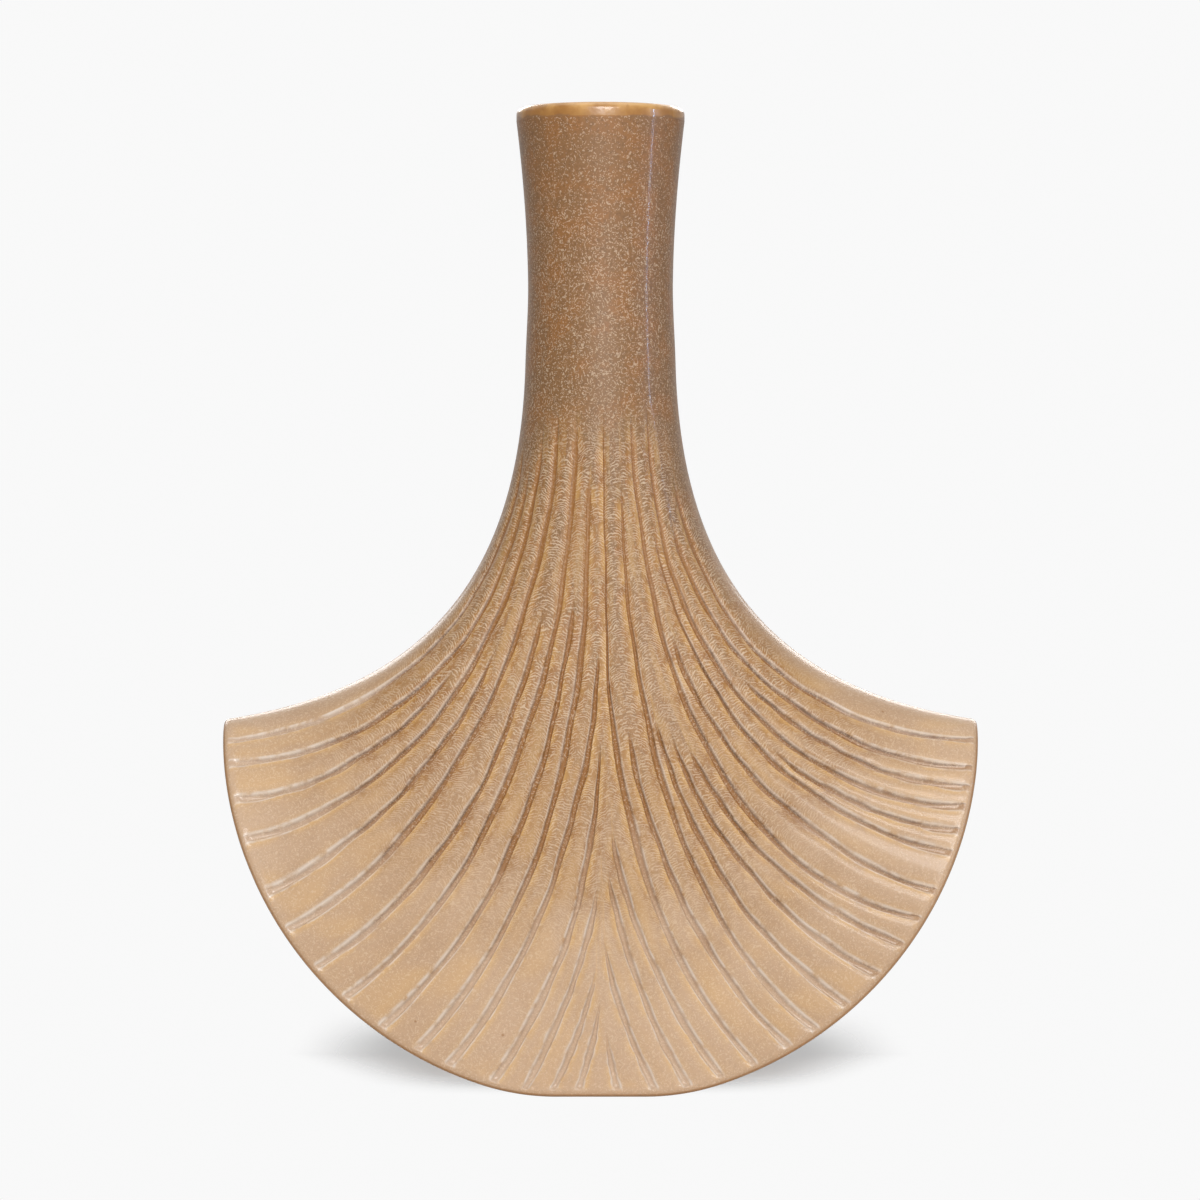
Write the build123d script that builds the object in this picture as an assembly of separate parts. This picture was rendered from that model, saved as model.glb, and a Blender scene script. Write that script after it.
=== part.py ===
from build123d import *
import os
from math import asin, atan2, cos, pi, radians, sin, tan

# Fan, in millimetres and degrees
FAN_HEIGHT = 244.0  # from the foot to the joint with the neck
FAN_RADIUS = 126.6  # of the round lower edge, half the overall width
FOOT_CUT = 2.4  # what is flattened off the round edge to make a foot
FOOT_BLEND = 80.0  # radius that eases the flat foot into the round edge
FOOT_DEPTH = 72.0  # front to back at the foot
JOINT_RADIUS = 25.3  # outside radius where the fan meets the neck
JOINT_SLOPE = 1.5  # lean of the outline at that joint
SHOULDER_DROP = 71.5  # how firmly the outline keeps that lean going down
TIP_SLOPE = 8.5  # fall of the outline at the two tips
TIP_RUN = 69.0  # how firmly the outline keeps that fall going in
FULLNESS_SHARE = 0.4  # how much blunter than an ellipse the fan's edge is

# Walls of the fan
WALL = 6.0
EDGE_RADIUS = 2.0  # rounding along the lower edge
BASE_THICKNESS = 8.0  # curved slab that closes the fan below
BASE_COVER = 3.8  # what is left of a shell in front of the slab's edge

# Flutes cut into each face of the fan
FLUTE_WIDTH = 2.6  # at the lower end
FLUTE_UPPER_SHARE = 0.7  # how narrow a flute begins, of that width
FLUTE_DEPTH = 1.2
FLUTE_STOP = 2.3  # plain band between the flutes' ends and the lower edge
FLUTE_POINT_SHARE = 0.1  # part of a flute's length that tapers to its point

# Each flute: its end along the lower edge from the centre line to the tip, its start down the
# outline, the same start from the centre line out to the side, and how late it leans outwards
LEFT_FLUTE_SHARES = (
    (0.965, 0.12, 0.920, 2.0),
    (0.930, 0.15, 0.820, 2.6),
    (0.870, 0.57, 0.782, 2.2),
    (0.800, 0.07, 0.712, 5.0),
    (0.700, 0.50, 0.635, 2.6),
    (0.630, 0.05, 0.545, 5.0),
    (0.550, 0.41, 0.424, 2.6),
    (0.480, 0.05, 0.312, 3.4),
    (0.400, 0.38, 0.208, 2.0),
    (0.330, 0.15, 0.118, 2.9),
    (0.270, 0.46, 0.015, 1.45),
    (0.190, 0.60, 0.000, 1.6),
    (0.135, 0.78, 0.008, 1.2),
    (0.090, 0.87, 0.010, 1.2),
    (0.045, 0.90, 0.000, 1.2),
)
RIGHT_FLUTE_SHARES = (
    (0.968, 0.17, 0.820, 1.2),
    (0.922, 0.25, 0.705, 1.0),
    (0.888, 0.57, 0.725, 0.85),
    (0.858, 0.05, 0.585, 1.9),
    (0.815, 0.69, 0.660, 1.0),
    (0.775, 0.27, 0.515, 1.35),
    (0.705, 0.45, 0.470, 1.3),
    (0.655, 0.05, 0.395, 3.2),
    (0.600, 0.62, 0.375, 1.2),
    (0.535, 0.60, 0.325, 1.4),
    (0.460, 0.57, 0.265, 1.5),
    (0.395, 0.17, 0.222, 4.0),
    (0.340, 0.58, 0.135, 1.5),
    (0.275, 0.06, 0.032, 3.2),
    (0.215, 0.71, 0.038, 1.3),
    (0.155, 0.76, 0.020, 1.2),
    (0.100, 0.84, 0.008, 1.2),
    (0.035, 0.93, 0.010, 1.2),
)

# Neck and lip
NECK_HEIGHT = 86.0  # from the joint to the top of the lip
WAIST_RADIUS = 24.4
WAIST_RISE = 27.0  # height of the waist above the joint
LIP_RADIUS = 28.3
LIP_THICKNESS = 4.8
LIP_HEIGHT = 4.6
LIP_FLARE = 7.0  # lean of the neck just under the lip
STRAIGHT_RISE = 54.0  # length of straight bore above the joint
SPIGOT_LENGTH = 9.0  # neck inside the fan's collar
SPIGOT_CLEARANCE = 0.15

# Coils of clay pressed into the seams inside
COIL_THICKNESS = 3.0
COIL_WIDTH = 12.0
NECK_COIL_HEIGHT = 7.0

OVERRUN = 5.0  # how far cutting shapes reach past what they cut

# Fineness of the fan's surface, and how far it is drawn past its edges
DOWN_STEPS = 14
ACROSS_STEPS = 24
DOWN_OVERRUN_SHARE = 0.06
ACROSS_OVERRUN = radians(10)
LEAST_BEND = radians(0.1)
FLUTE_STATIONS = 8
FLUTE_HALVINGS = 20  # how closely a flute's end is found
WAY_STEP_SHARE = 0.002  # step down the face that gives a flute's direction
FLUTE_ROUNDS = 4  # flutes are cut in rounds, so that neighbours are never cut at once

TIP_HEIGHT = FAN_RADIUS - FOOT_CUT
BORE_RADIUS = JOINT_RADIUS - WALL
SPIGOT_RADIUS = JOINT_RADIUS - WALL / 2
TOTAL_HEIGHT = FAN_HEIGHT + NECK_HEIGHT
LIP_SEAT_HEIGHT = TOTAL_HEIGHT - LIP_HEIGHT


# Shape of the fan


def downward(lean):
    """The direction down, leaning outwards from the upright by an angle in degrees."""
    return Vector(sin(radians(lean)), -cos(radians(lean)))


def bezier(points, share):
    """The point at a share of a cubic curve, and the curve's direction there."""
    rest = 1 - share
    start, first, second, end = points
    place = start * rest**3 + first * (3 * rest**2 * share)
    place += second * (3 * rest * share**2) + end * share**3
    way = (first - start) * rest**2 + (second - first) * (2 * rest * share) + (end - second) * share**2
    return place, way.normalized()


def outline(down):
    """Right-hand outline in the front view, from the neck joint (0) to the tip (1)."""
    joint = Vector(JOINT_RADIUS, FAN_HEIGHT)
    tip = Vector(FAN_RADIUS, TIP_HEIGHT)
    shoulder = joint + downward(JOINT_SLOPE) * SHOULDER_DROP
    run = tip - downward(90 - TIP_SLOPE) * TIP_RUN
    place, way = bezier((joint, shoulder, run, tip), down)
    return place, atan2(way.X, -way.Y)


def skin_point(down, across, inset):
    """A point of the front face: share down the outline, angle across it, depth under the surface."""
    place, lean = outline(down)
    bend = max(lean * 90 / (90 - TIP_SLOPE), LEAST_BEND)
    axis_height = place.Y - place.X * tan(bend / 2)
    sunk = (FAN_HEIGHT - axis_height) / FAN_HEIGHT
    depth = JOINT_RADIUS + (FOOT_DEPTH / 2 - JOINT_RADIUS) * sunk - inset
    width = place.X - inset * cos(lean)
    height = place.Y - inset * sin(lean)
    side = sin(across)
    radius = width / sin(bend)
    return Vector(
        radius * sin(bend * side),
        -depth * cos(across) * (1 + FULLNESS_SHARE * down * side**2),
        height - radius * (cos(bend * side) - cos(bend)),
    )


def steps(first, last, count):
    """Evenly spaced values from first to last."""
    return [first + (last - first) * i / count for i in range(count + 1)]


def skin(inset):
    """The front face at a depth under the surface, drawn a little past all its edges."""
    downs = steps(-DOWN_OVERRUN_SHARE, 1 + DOWN_OVERRUN_SHARE, DOWN_STEPS)
    reach = pi / 2 + ACROSS_OVERRUN
    acrosses = steps(-reach, reach, ACROSS_STEPS)
    rows = [[skin_point(down, across, inset) for across in acrosses] for down in downs]
    return Face.make_surface_from_array_of_points(rows, min_deg=3)


def band(low, high):
    """A level band of the front view, wider than the fan, between two heights."""
    return Pos(0, (low + high) / 2) * Rectangle(2 * (FAN_RADIUS + OVERRUN), high - low)


def room_view(edge_inset):
    """Front view of the room between the round lower edge, or a line inside it, and the neck joint."""
    disc = Pos(0, TIP_HEIGHT) * Circle(FAN_RADIUS - edge_inset)
    rise = FAN_HEIGHT - TIP_HEIGHT
    column = Pos(0, TIP_HEIGHT + rise / 2) * Rectangle(FAN_RADIUS, rise)
    return disc + column - band(FAN_HEIGHT, FAN_HEIGHT + FAN_RADIUS)


def fan_view():
    """Front view of the whole fan's room, flattened for the foot."""
    view = room_view(0) - band(-FAN_RADIUS, 0)
    return fillet(view.vertices().group_by(Axis.Y)[0], FOOT_BLEND)


def front_half(inset, view, depth=FOOT_DEPTH):
    """What lies behind the front skin and in front of the seam plane, within a front view."""
    block = extrude(Plane.XZ * view, amount=depth)
    pieces = block.split(skin(inset), keep=Keep.ALL)
    return max(pieces, key=lambda piece: piece.center().Y)


def both_halves(half):
    """A front half joined with its mirror image behind the seam plane."""
    return half + mirror(half, about=Plane.XZ)


# Flutes


def flute_place(shares, down):
    """The middle of a flute in the front view at a share down the face, on the right-hand side."""
    end_side, start_down, start_side, lateness = shares
    part = max(down - start_down, 0) / (1 - start_down)
    side = start_side + (end_side - start_side) * part**lateness
    place = skin_point(down, asin(side), 0)
    return Vector(place.X, place.Z)


def flute_end(shares):
    """Share down the face at which a flute stops short of the round lower edge and of the foot."""
    plain = FLUTE_STOP + FLUTE_WIDTH / 2
    low, high = shares[1], 1
    for _ in range(FLUTE_HALVINGS):
        middle = (low + high) / 2
        place = flute_place(shares, middle)
        from_edge = FAN_RADIUS - (place - Vector(0, TIP_HEIGHT)).length
        if min(from_edge, place.Y) > plain:
            low = middle
        else:
            high = middle
    return low


def flute_cutter(shares, core):
    """One flute's cutter: its front view drawn straight back as far as the flute's floor."""
    start, end = shares[1], flute_end(shares)
    left = [flute_place(shares, start)]
    right = [flute_place(shares, start)]
    for share in steps(FLUTE_POINT_SHARE, 1, FLUTE_STATIONS):
        down = start + (end - start) * share
        place = flute_place(shares, down)
        way = (place - flute_place(shares, down - WAY_STEP_SHARE)).normalized()
        narrowing = FLUTE_UPPER_SHARE + (1 - FLUTE_UPPER_SHARE) * share
        aside = Vector(-way.Y, way.X) * (narrowing * FLUTE_WIDTH / 2)
        left.append(place + aside)
        right.append(place - aside)
    toe = place + way * (FLUTE_WIDTH / 2)
    edges = [Spline(*left), ThreePointArc(left[-1], toe, right[-1]), Spline(*right)]
    return extrude(Plane.XZ * make_face(edges), amount=FOOT_DEPTH) - core


# Pieces


def fan_shell(cavity, base):
    """The front of the fan with its flutes, hollowed, rebated for the base and socketed for the neck."""
    block = front_half(0, fan_view())
    lower_edges = block.edges().filter_by(
        lambda edge: edge.geom_type != GeomType.LINE
        and edge.center().Y < -OVERRUN
        and edge.center().Z < TIP_HEIGHT
    )
    block = block.fillet(EDGE_RADIUS, lower_edges)
    core = front_half(FLUTE_DEPTH, fan_view())
    cutters = [flute_cutter(shares, core) for shares in RIGHT_FLUTE_SHARES]
    cutters += [mirror(flute_cutter(shares, core), about=Plane.YZ) for shares in LEFT_FLUTE_SHARES]
    for first in range(FLUTE_ROUNDS):
        block -= cutters[first::FLUTE_ROUNDS]
    socket = Pos(0, 0, FAN_HEIGHT - SPIGOT_LENGTH) * Cylinder(
        SPIGOT_RADIUS + SPIGOT_CLEARANCE,
        SPIGOT_LENGTH + OVERRUN,
        align=(Align.CENTER, Align.CENTER, Align.MIN),
    )
    return block - cavity - base - socket


def base_slab():
    """The curved slab that closes the fan along its round edge, with the flat foot under it."""
    view = fan_view() - room_view(BASE_THICKNESS) - band(TIP_HEIGHT, FAN_HEIGHT)
    return both_halves(front_half(BASE_COVER, view))


def side_coil():
    """Coil pressed along the seam under the right-hand shoulder."""
    top = FAN_HEIGHT - SPIGOT_LENGTH - NECK_COIL_HEIGHT
    strip = Pos(FAN_RADIUS / 2, top / 2) * Rectangle(FAN_RADIUS, top)
    view = room_view(BASE_THICKNESS) & strip
    inside = front_half(WALL + COIL_THICKNESS, view)
    return both_halves(front_half(WALL, view, COIL_WIDTH / 2) - inside)


def neck_coil():
    """Ring of clay pressed under the end of the neck's spigot."""
    top = FAN_HEIGHT - SPIGOT_LENGTH
    strip = Pos(0, top - NECK_COIL_HEIGHT / 2) * Rectangle(FAN_RADIUS, NECK_COIL_HEIGHT)
    way_through = Pos(0, 0, top) * Cylinder(BORE_RADIUS - COIL_THICKNESS, FAN_HEIGHT)
    return both_halves(front_half(WALL, strip)) - way_through


def neck_tube():
    """The thrown neck: straight bore, waisted outside, with a spigot that enters the fan."""
    spigot_foot = FAN_HEIGHT - SPIGOT_LENGTH
    joint = (JOINT_RADIUS, FAN_HEIGHT)
    waist = (WAIST_RADIUS, FAN_HEIGHT + WAIST_RISE)
    rim = (LIP_RADIUS, LIP_SEAT_HEIGHT)
    mouth = (LIP_RADIUS - LIP_THICKNESS, LIP_SEAT_HEIGHT)
    throat = (BORE_RADIUS, FAN_HEIGHT + STRAIGHT_RISE)
    flare = -downward(-LIP_FLARE)
    spigot = Polyline(
        throat,
        (BORE_RADIUS, spigot_foot),
        (SPIGOT_RADIUS, spigot_foot),
        (SPIGOT_RADIUS, FAN_HEIGHT),
        joint,
    )
    outside = Spline(joint, waist, rim, tangents=(-downward(JOINT_SLOPE), flare))
    inside = Spline(throat, mouth, tangents=(-downward(0), flare))
    edges = [spigot, outside, Line(rim, mouth), inside]
    return revolve(Plane.XZ * make_face(edges), Axis.Z)


def lip_ring():
    """The rolled lip: a ring with a round top, seated on the end of the neck."""
    inner = LIP_RADIUS - LIP_THICKNESS
    middle = LIP_RADIUS - LIP_THICKNESS / 2
    shoulder = TOTAL_HEIGHT - LIP_THICKNESS / 2
    seat = Polyline(
        (LIP_RADIUS, shoulder),
        (LIP_RADIUS, LIP_SEAT_HEIGHT),
        (inner, LIP_SEAT_HEIGHT),
        (inner, shoulder),
    )
    crown = ThreePointArc((inner, shoulder), (middle, TOTAL_HEIGHT), (LIP_RADIUS, shoulder))
    return revolve(Plane.XZ * make_face([seat, crown]), Axis.Z)


def main():
    cavity = front_half(WALL, room_view(BASE_THICKNESS))
    base = base_slab()
    front = fan_shell(cavity, base)
    right_coil = side_coil()
    nodes = {
        "front_shell": front,
        "rear_shell": front.rotate(Axis.Z, 180),
        "base_slab": base,
        "neck_tube": neck_tube(),
        "lip_ring": lip_ring(),
        "neck_seam_coil": neck_coil(),
        "right_seam_coil": right_coil,
        "left_seam_coil": mirror(right_coil, about=Plane.YZ),
    }
    os.makedirs("parts", exist_ok=True)
    for name, piece in nodes.items():
        export_step(piece, f"parts/{name}.step")


main()
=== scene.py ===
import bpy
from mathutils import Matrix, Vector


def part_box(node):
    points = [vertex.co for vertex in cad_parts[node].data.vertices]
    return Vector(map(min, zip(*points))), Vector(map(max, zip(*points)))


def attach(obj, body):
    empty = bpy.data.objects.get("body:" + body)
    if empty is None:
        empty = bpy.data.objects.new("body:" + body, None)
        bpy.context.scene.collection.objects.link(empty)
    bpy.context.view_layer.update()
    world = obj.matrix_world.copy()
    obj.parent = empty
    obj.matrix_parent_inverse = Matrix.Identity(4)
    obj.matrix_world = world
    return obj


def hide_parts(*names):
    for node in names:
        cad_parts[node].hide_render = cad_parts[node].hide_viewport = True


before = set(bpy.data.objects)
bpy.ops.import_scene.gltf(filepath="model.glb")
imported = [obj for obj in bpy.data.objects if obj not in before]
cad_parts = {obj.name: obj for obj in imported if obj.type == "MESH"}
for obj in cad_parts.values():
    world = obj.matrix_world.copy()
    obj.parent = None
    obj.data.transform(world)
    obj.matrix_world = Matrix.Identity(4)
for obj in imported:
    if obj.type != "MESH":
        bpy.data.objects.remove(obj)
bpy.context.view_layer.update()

from math import cos, pi, radians, sin, sqrt

import bpy
import numpy as np
from bpy.props import FloatProperty, FloatVectorProperty, IntProperty, PointerProperty
from mathutils import Vector

bl_info = {
    "name": "Fan Vase",
    "version": (1, 0, 0),
    "blender": (4, 5, 0),
    "location": "View3D > Sidebar > Vase",
    "description": "Builds a glazed stoneware vase with a fluted fan, a round neck and an amber lip",
    "category": "Object",
}

FAN_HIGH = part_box("front_shell")[1]
NECK_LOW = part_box("neck_tube")[0]
LIP_LOW, LIP_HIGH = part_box("lip_ring")
MM = 0.001

# Fits of the pieces: neck in the fan's collar, slab behind the shells' edge and under their rebate
COLLAR_GAP = 0.15 * MM
SLAB_GAP = 0.5 * MM
SLAB_LIFT = 0.03 * MM
REBATE_GAP = 0.2 * MM

# Each flute of the left half and of the right half: its end along the lower edge from the centre line
# to the tip, its start down the outline, the same start out to the side, and how late it leans outwards
LEFT_FLUTES = (
    (0.965, 0.12, 0.920, 2.0),
    (0.930, 0.15, 0.820, 2.6),
    (0.870, 0.57, 0.782, 2.2),
    (0.800, 0.07, 0.712, 5.0),
    (0.700, 0.50, 0.635, 2.6),
    (0.630, 0.05, 0.545, 5.0),
    (0.550, 0.41, 0.424, 2.6),
    (0.480, 0.05, 0.312, 3.4),
    (0.400, 0.38, 0.208, 2.0),
    (0.330, 0.15, 0.118, 2.9),
    (0.270, 0.46, 0.015, 1.45),
    (0.190, 0.60, 0.000, 1.6),
    (0.135, 0.78, 0.008, 1.2),
    (0.090, 0.87, 0.010, 1.2),
    (0.045, 0.90, 0.000, 1.2),
)
RIGHT_FLUTES = (
    (0.968, 0.17, 0.820, 1.2),
    (0.922, 0.25, 0.705, 1.0),
    (0.888, 0.57, 0.725, 0.85),
    (0.858, 0.05, 0.585, 1.9),
    (0.815, 0.69, 0.660, 1.0),
    (0.775, 0.27, 0.515, 1.35),
    (0.705, 0.45, 0.470, 1.3),
    (0.655, 0.05, 0.395, 3.2),
    (0.600, 0.62, 0.375, 1.2),
    (0.535, 0.60, 0.325, 1.4),
    (0.460, 0.57, 0.265, 1.5),
    (0.395, 0.17, 0.222, 4.0),
    (0.340, 0.58, 0.135, 1.5),
    (0.275, 0.06, 0.032, 3.2),
    (0.215, 0.71, 0.038, 1.3),
    (0.155, 0.76, 0.020, 1.2),
    (0.100, 0.84, 0.008, 1.2),
    (0.035, 0.93, 0.010, 1.2),
)

# Where mesh columns stand: across a flute, across a rib between two flutes, and from the seam to a flute
FLUTE_COLUMNS = (-1.0, -0.74, -0.4, 0.0, 0.4, 0.74, 1.0)
RIB_COLUMNS = (0.07, 0.22, 0.5, 0.78, 0.93)
SEAM_COLUMNS = (0.0, 0.006, 0.02, 0.05, 0.1, 0.17, 0.26, 0.37, 0.5, 0.64, 0.78, 0.9, 0.97)

# The hand's unsteadiness along a flute, as waves: share, beat and phase, in its course and in its width
COURSE_WAVES = ((1.0, 7, 1), (0.6, 17, 3), (0.4, 45, 2))
WIDTH_WAVES = ((0.13, 11, 1), (0.1, 37, 2))

# How far from a flute's side its marks in the glaze reach; rust and painted shade on its inner and on its
# outer side
ARC_REACH = 5.5 * MM
OCHRE_REACH = 1.6 * MM
RUST_AND_SHADE_REACH = (3 * MM, 1 * MM)
RIB_REACH = 9 * MM

# Lines in a flute, in half widths from its middle: breadth of a pale line of painted highlight, place and
# breadth of the crack, a dark line of painted shadow
HIGHLIGHT_BREADTH = 0.24
CRACK_SHADOW_PLACE, CRACK_SHADOW_BREADTH = 0.68, 0.36

# Form of a flute
LEAST_WIDTH = 0.12 * MM  # at its point
TAPER = 0.7  # power by which the point widens
HIGH_START = 0.3  # share down the face above which the point is longer
DEEPENING = (0.28, 0.62)  # shares down the face between which flutes deepen
END_DEPTH = 0.35  # share of the depth that is left at its end
TOE_EASE = 1.6  # half widths over which it dies out
TOE_TINT = 0.8  # how much of its toe is tinted towards the sides of the fan
WIDEST = 0.44  # share of the gap to its neighbour that half of it may fill
LEAST_SLANT = 0.3  # of its line against a row of the face

# Mesh of a shell: length with closer rows at the lower edge, rows inside, and the step that directions take
END_ZONE = 9 * MM
INSIDE_ROWS = np.linspace(0.93, 0.06, 14)
NUDGE = 1e-4

# Patterns in the glaze, in cells per metre
MOTTLE_SCALE = 38.0
CLOUD_SCALE = 95.0
STREAK_SCALE = 120.0
POOL_SCALE = 210.0
LINE_SCALE = 260.0
FRAY_SCALE = 420.0
CRYSTAL_SCALE = 430.0
ARC_STRAY_SCALE = 230.0
ARC_BREAK_SCALE = 560.0
ARC_CURL_SCALE = 700.0
ARC_BEAT = 6400.0
RIB_STRETCH = 25.0
AMBER_LINE = LIP_LOW.z + 1.2 * MM

# Lights: name, place, the point each is turned to, width and height, and the setting with its power
LIGHTS = (
    ("key", (0.2, -2.2, 1.15), (0, 0, 0.15), (0.9, 0.9), "key_power"),
    ("top", (0.0, -0.1, 1.6), (0, 0, 0), (1.4, 1.0), "top_power"),
    ("back_left", (-0.8, 2.2, 1.2), (0, 0, 0.15), (0.8, 0.8), "back_power"),
    ("back_right", (0.8, 2.2, 1.2), (0, 0, 0.15), (0.8, 0.8), "back_power"),
    ("strip", (1.75, -0.37, 0.3), (0, 0, 0.28), (0.02, 1.0), "strip_power"),
)
STRIP_TINT = (0.35, 0.6, 1.0)


def tone(red, green, blue):
    """A colour written as on a screen, 0 to 255, as light."""
    shares = (np.array((red, green, blue)) / 255.0).tolist()
    return [s / 12.92 if s <= 0.04045 else ((s + 0.055) / 1.055) ** 2.4 for s in shares]


def length(name, description, default):
    return FloatProperty(name=name, description=description, default=default, unit="LENGTH", precision=4)


def angle(name, description, degrees):
    return FloatProperty(name=name, description=description, default=radians(degrees), subtype="ANGLE")


def share(name, description, default):
    return FloatProperty(name=name, description=description, default=default, subtype="FACTOR")


def power(name, description, default):
    return FloatProperty(name=name, description=description, default=default, unit="POWER")


def colour(name, description, *screen):
    return FloatVectorProperty(name=name, description=description, default=tone(*screen), subtype="COLOR")


class FanSizes(bpy.types.PropertyGroup):
    """Shape of the hollow fan"""

    height: length("Height", "From the foot to the joint with the neck", FAN_HIGH.z)
    radius: length("Radius", "Of the round lower edge", FAN_HIGH.x)
    foot_cut: length("Foot cut", "What is flattened off the round edge to make a foot", 2.4 * MM)
    foot_blend: length("Foot blend", "Radius that eases the foot into the round edge", 80 * MM)
    foot_depth: length("Foot depth", "Front to back at the foot", 72 * MM)
    joint_radius: length("Joint radius", "Outside radius where fan and neck meet", 25.3 * MM)
    joint_slope: angle("Joint slope", "Lean of the outline at that joint", 1.5)
    shoulder_drop: length("Shoulder drop", "How firmly the outline keeps that lean", 71.5 * MM)
    tip_slope: angle("Tip slope", "Fall of the outline at the tips", 8.5)
    tip_run: length("Tip run", "How firmly the outline keeps that fall", 69 * MM)
    fullness: share("Fullness", "How much blunter than an ellipse the edge is", 0.4)
    wall: length("Wall", "Thickness of the shells", 6 * MM)
    edge_radius: length("Edge rounding", "Along the lower edge", 2 * MM)
    cover: length("Edge cover", "Shell in front of the base slab", 3.8 * MM)
    slab: length("Base slab", "Thickness of the base slab", 8 * MM)


class FluteSizes(bpy.types.PropertyGroup):
    """Flutes cut into each face of the fan"""

    width: length("Width", "Of a flute at its lower end", 2.6 * MM)
    upper_share: share("Upper width", "Width where a flute begins, of the lower one", 0.7)
    depth: length("Depth", "Of a flute's floor", 1.15 * MM)
    upper_depth: share("Upper depth", "Depth near the neck, of the full one", 0.28)
    upper_crown: length("Upper rib crown", "How far a rib's sides fall away near the neck", 0.7 * MM)
    lower_crown: length("Lower rib crown", "The same near the lower edge", 0.4 * MM)
    stop: length("Plain band", "From a flute's end to the lower edge", 2.3 * MM)
    rounding: length("Rib rounding", "Breadth over which a rib's sides fall away", 2.9 * MM)
    run_out: length("Run-out", "Length over which a flute grows shallow towards its end", 10 * MM)
    point: length("Point", "Length over which a flute tapers to its point", 13 * MM)
    wander: length("Wander", "How far the hand-cut line strays", 0.4 * MM)
    row_step: length("Row step", "Distance between rows of the mesh", 1.3 * MM)


class NeckSizes(bpy.types.PropertyGroup):
    """Neck and lip"""

    waist_radius: length("Waist radius", "Where the neck is narrowest", 24.4 * MM)
    waist_rise: length("Waist rise", "Height of the waist above the joint", 27 * MM)
    lip_radius: length("Lip radius", "Outside radius of the lip", LIP_HIGH.x)
    lip_thickness: length("Lip thickness", "Across the rolled lip", 4.8 * MM)
    lip_flare: angle("Lip flare", "Lean of the neck just under the lip", 7)
    bore_radius: length("Bore radius", "Of the straight bore", 19.3 * MM)
    straight_rise: length("Straight rise", "Straight bore above the joint", 54 * MM)
    spigot_radius: length("Spigot radius", "Of the neck inside the fan's collar", 22.3 * MM)
    sides: IntProperty(name="Sides", description="Edges round the neck", default=192)


class GlazeColours(bpy.types.PropertyGroup):
    """Colours of the glazes and the clay"""

    foot: colour("Foot", "Glaze at the lower edge", 185, 154, 124)
    belly: colour("Belly", "Glaze on the middle of the fan", 157, 121, 84)
    shoulder: colour("Shoulder", "Glaze where the fan narrows", 129, 95, 61)
    neck: colour("Neck", "Glaze on the neck", 130, 94, 60)
    # Rust colours warm clouds in the glaze and paints shade in the valleys beside the upper flutes
    rust_and_valley_shade: colour("Rust", "Warm clouds and upper valleys", 152, 98, 46)
    ochre: colour("Ochre", "Where the glaze breaks thin over an edge", 210, 166, 100)
    brown: colour("Brown", "In the upper flutes", 138, 92, 44)
    # Umber colours dark specks in the glaze and paints the shadow line along a flute's upper wall
    umber_and_crack_shadow: colour("Umber", "In the upper corner of a flute", 92, 66, 46)
    lilac: colour("Lilac grey", "Pooled in the lower flutes", 184, 157, 133)
    crystal: colour("Crystal", "Curled speckles in the glaze", 222, 200, 174)
    # Grey paints highlights: thin lines along a flute's edges
    grey: colour("Grey", "Thin lines along a flute's sides", 210, 197, 184)
    amber: colour("Amber", "Of the lip", 157, 109, 57)
    honey: colour("Honey", "Where the amber is thin", 200, 155, 98)
    clay: colour("Clay", "Bare fired clay", 178, 150, 124)


class StageSettings(bpy.types.PropertyGroup):
    """Floor, lights and camera"""

    floor: share("Floor", "Brightness of floor and background", 0.945)
    floor_seen: share("Floor seen", "Brightness of the shaded floor to the camera, of the true one", 0.72)
    shadow: share("Shadow", "How much of the floor's shading the camera sees", 0.82)
    ambient: share("Ambient", "Light from all around", 0.08)
    key_power: power("Key light", "Large soft light above the front", 52.0)
    top_power: power("Top light", "Soft light straight above", 8.0)
    back_power: power("Back light", "Each of two soft lights behind", 15.0)
    strip_power: power("Strip light", "Narrow light at the right, seen in the gloss only", 9.0)
    camera_distance: length("Camera distance", "In front of the vase's middle", 2.0)
    camera_height: length("Camera height", "Above the floor", 164.4 * MM)
    view_width: length("View width", "Width of the view at the vase's middle", 404 * MM)


# Shape of the fan


def unit(vectors):
    """The same directions at length 1."""
    return vectors / np.linalg.norm(vectors, axis=-1, keepdims=True)


def bezier(points, along):
    """Points of a cubic curve at shares along it, and its directions there."""
    along = np.asarray(along, float)
    rest = 1 - along
    weights = np.stack((rest**3, 3 * rest**2 * along, 3 * rest * along**2, along**3), -1)
    turns = np.stack((rest**2, 2 * rest * along, along**2), -1)
    return weights @ points, turns @ np.diff(points, axis=0)


def outline(fan, down):
    """Half width, height and lean of the outline, from the neck joint (0) to the tip (1)."""
    joint = np.array((fan.joint_radius, fan.height))
    tip = np.array((fan.radius, fan.radius - fan.foot_cut))
    shoulder = joint + fan.shoulder_drop * np.array((sin(fan.joint_slope), -cos(fan.joint_slope)))
    run = tip - fan.tip_run * np.array((cos(fan.tip_slope), -sin(fan.tip_slope)))
    place, way = bezier(np.array((joint, shoulder, run, tip)), down)
    return place[..., 0], place[..., 1], np.arctan2(way[..., 0], -way[..., 1])


def bend_of(fan, lean):
    """How far round a row of the face bends in the front view."""
    return np.maximum(lean * (pi / 2) / (pi / 2 - fan.tip_slope), radians(0.1))


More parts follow.
